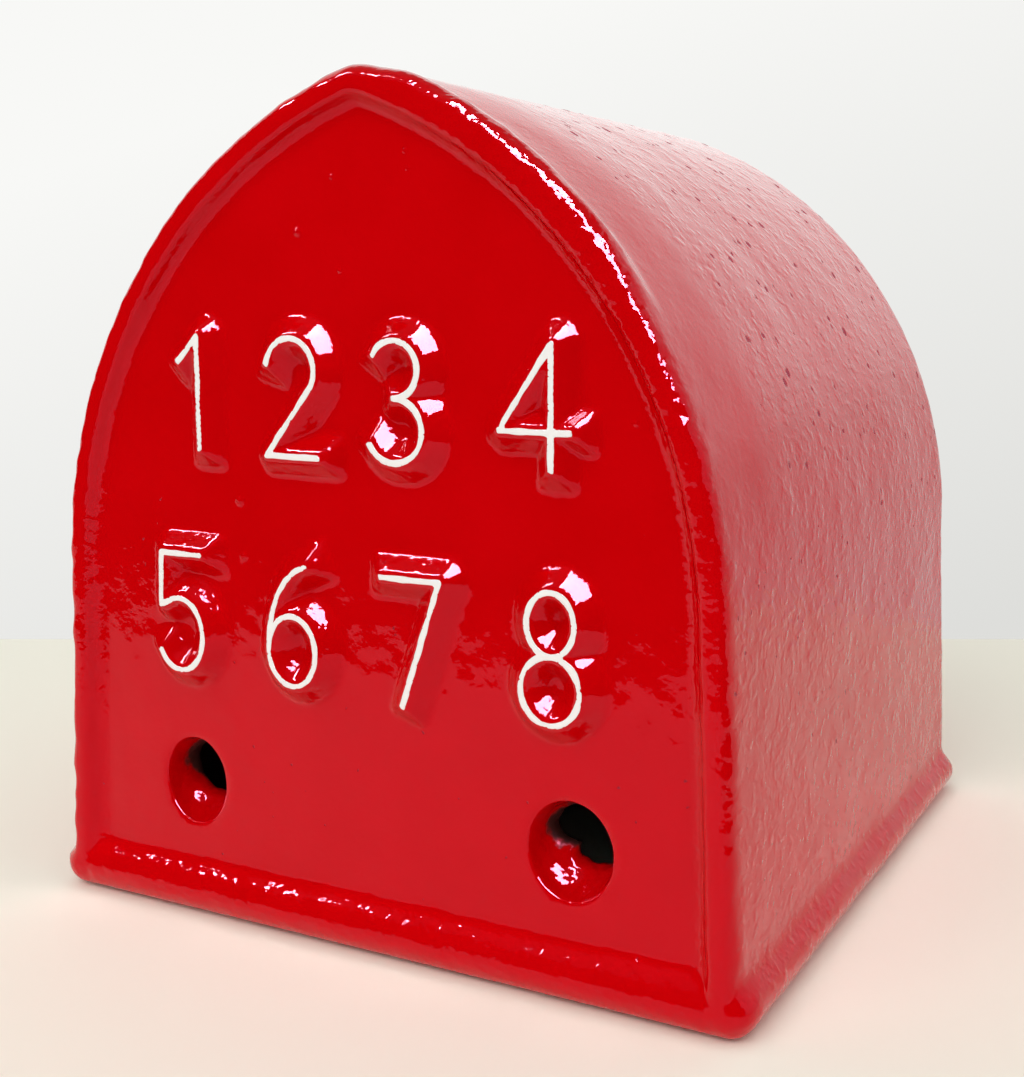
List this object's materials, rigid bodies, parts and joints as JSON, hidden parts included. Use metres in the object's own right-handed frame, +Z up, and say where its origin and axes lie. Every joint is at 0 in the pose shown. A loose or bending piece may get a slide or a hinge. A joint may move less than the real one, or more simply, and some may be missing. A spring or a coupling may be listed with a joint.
{
  "type": "hydrant marker",
  "caption": "Hollow cast-iron hood with a pointed-arch front panel and raised rim, a half-round base bead and a pair of bolt holes, for capping a square timber marker post.",
  "frame": {"origin": "middle of the overall box at ground level", "axes": "+Z up, panel side towards -Y, +X to the right as seen from the panel side"},
  "size_m": [0.1786, 0.182, 0.1899],
  "materials": {
    "red_enamel": "gloss enamel on rough cast iron"
  },
  "bodies": {
    "root": {"hood": "red_enamel"}
  },
  "joints": []
}
